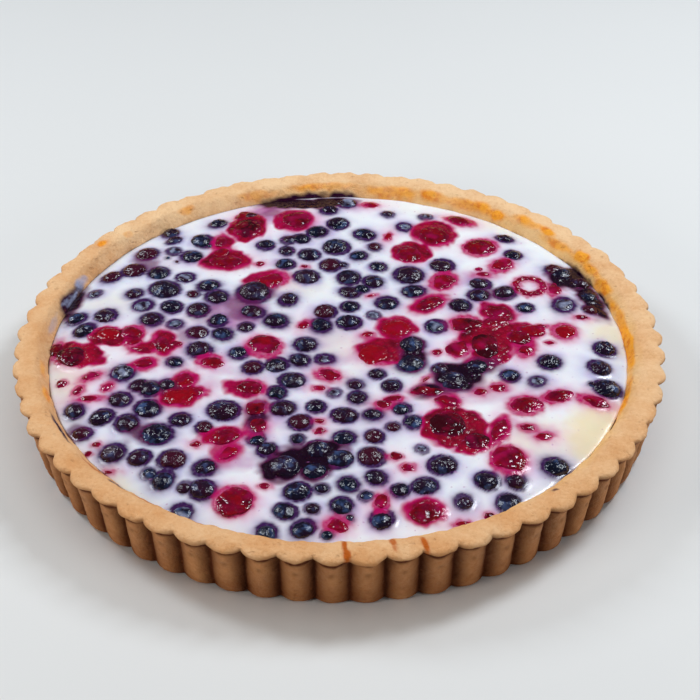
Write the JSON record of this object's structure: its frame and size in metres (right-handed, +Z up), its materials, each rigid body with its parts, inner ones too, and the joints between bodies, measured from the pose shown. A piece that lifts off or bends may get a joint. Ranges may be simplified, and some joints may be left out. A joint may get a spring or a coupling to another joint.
{
  "type": "berry cake",
  "caption": "Round open berry tart: a fluted shortcrust shell filled with set custard, with blueberries and raspberries baked into its top.",
  "frame": {"origin": "centre of the flat underside", "axes": "+Z up out of the filling, +X to the right and +Y away from the picture's camera"},
  "size_m": [0.2801, 0.2797, 0.028],
  "materials": {
    "pastry": "matt, sandy, lightly browned",
    "custard": "smooth, moist, slightly translucent",
    "blueberry": "wrinkled, wet",
    "raspberry": "soft, wet"
  },
  "bodies": {
    "root": {"crust": "pastry", "custard": "custard", "blueberry_mid_left_biggest": "blueberry", "blueberry_left_big": "blueberry", "blueberry_front_big": "blueberry", "blueberry_mid_right_big": "blueberry", "blueberry_back_centre_big": "blueberry", "blueberry_front_left_big": "blueberry", "blueberry_front_left_pair": "blueberry", "blueberry_cluster_right": "blueberry", "blueberry_centre_back": "blueberry", "blueberry_heart_right_upper": "blueberry", "blueberry_heart_right_lower": "blueberry", "blueberry_right_rim_lower": "blueberry", "blueberry_back_left_twin": "blueberry", "blueberry_back_left_maroon": "blueberry", "blueberry_front_right_wide": "blueberry", "blueberry_front_right_upper": "blueberry", "blueberry_front_low": "blueberry", "blueberry_front_right_lower": "blueberry", "blueberry_front_left_dark": "blueberry", "blueberry_right_rim_middle": "blueberry", "blueberry_left_filmed": "blueberry", "blueberry_front_left_outer": "blueberry", "blueberry_back_centre_small": "blueberry", "blueberry_back_rim": "blueberry", "blueberry_centre_wrinkled": "blueberry", "blueberry_centre_hollow": "blueberry", "blueberry_right_lone": "blueberry", "blueberry_right_rim_upper": "blueberry", "blueberry_right_back": "blueberry", "raspberry_front_right_dark": "raspberry", "raspberry_front_right_dark_low": "raspberry", "raspberry_right_dark": "raspberry", "raspberry_left_rim_dark": "raspberry", "raspberry_centre_right_red": "raspberry", "raspberry_centre_right_pink": "raspberry", "raspberry_centre_left_red": "raspberry", "raspberry_back_right_glossy": "raspberry", "raspberry_back_right_flat": "raspberry", "raspberry_back_right_lone": "raspberry", "raspberry_back_middle_pair": "raspberry", "raspberry_back_filmed": "raspberry", "raspberry_back_left_dark": "raspberry", "raspberry_back_left_low": "raspberry", "raspberry_left_low_red": "raspberry", "raspberry_right_low_red": "raspberry", "raspberry_front_right_pink": "raspberry", "raspberry_front_left_pink": "raspberry", "raspberry_front_right_oval": "raspberry", "raspberry_left_smooth": "raspberry", "raspberry_left_hooked": "raspberry", "raspberry_right_long": "raspberry", "raspberry_right_back_red": "raspberry", "raspberry_right_round": "raspberry", "raspberry_right_split": "raspberry", "raspberry_front_middle_pink": "raspberry"}
  },
  "joints": []
}
